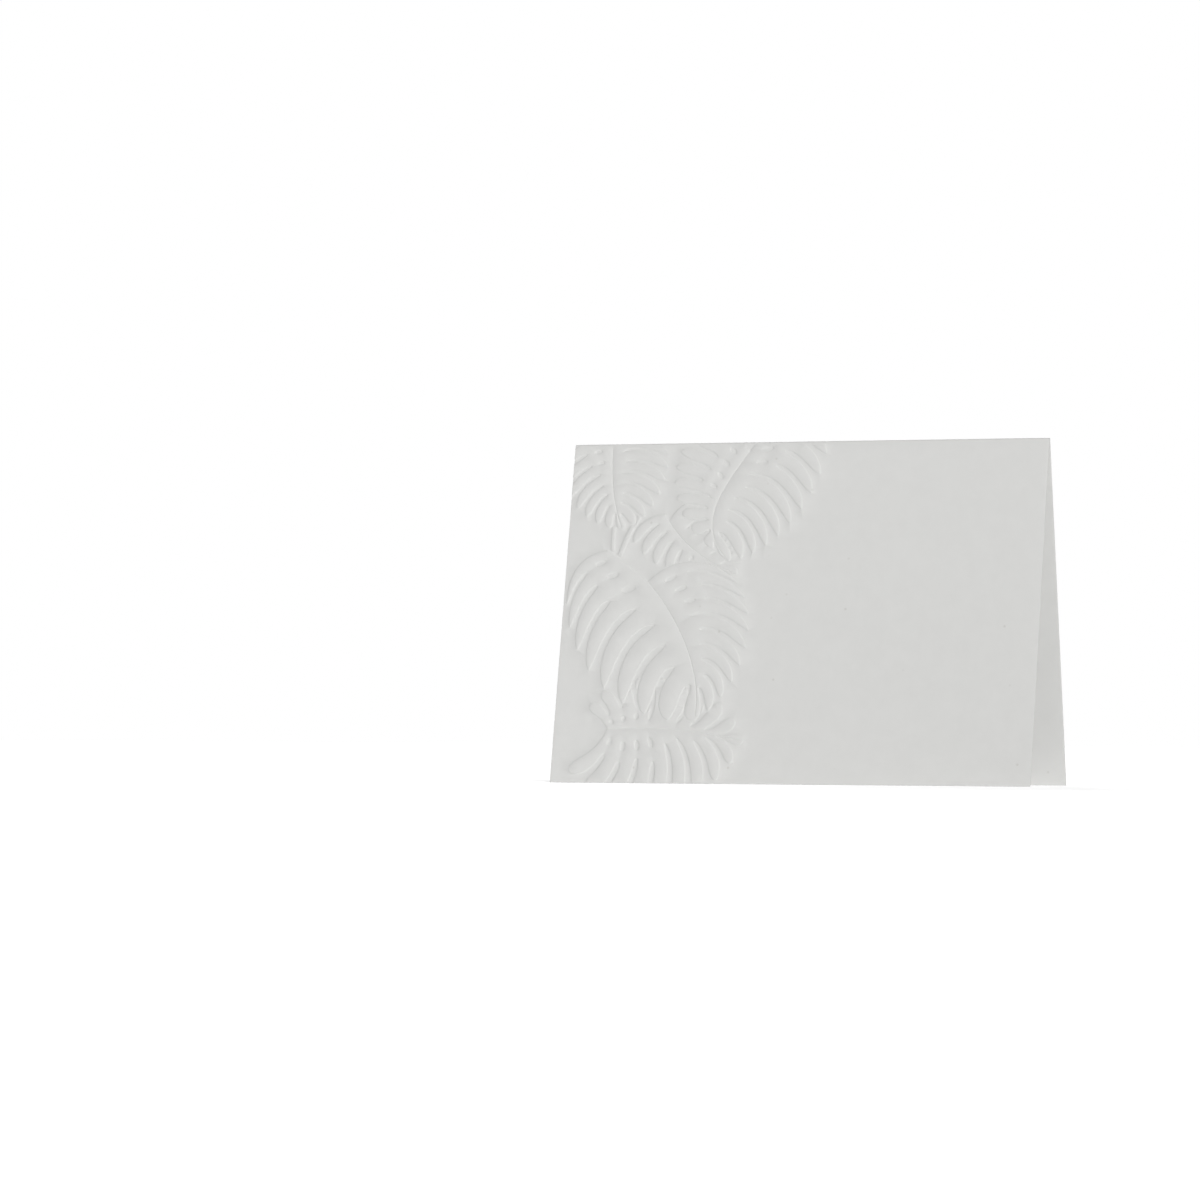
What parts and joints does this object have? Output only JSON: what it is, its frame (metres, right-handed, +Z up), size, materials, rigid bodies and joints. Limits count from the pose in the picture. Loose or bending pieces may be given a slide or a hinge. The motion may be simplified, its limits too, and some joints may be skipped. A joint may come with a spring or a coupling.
{
  "type": "greeting card",
  "caption": "Tent-fold greeting card of heavy paper, landscape, standing on its two cut edges, with raised leaves on its panels.",
  "frame": {"origin": "on the table, midway between the two edges that the card stands on and midway along them", "axes": "+X along the fold, to the right of the front panel; +Y from the front panel to the back one; +Z up"},
  "size_m": [0.148, 0.0446, 0.1027],
  "materials": {
    "card_stock": "uncoated, matt"
  },
  "bodies": {
    "root": {"card": "card_stock"}
  },
  "joints": []
}
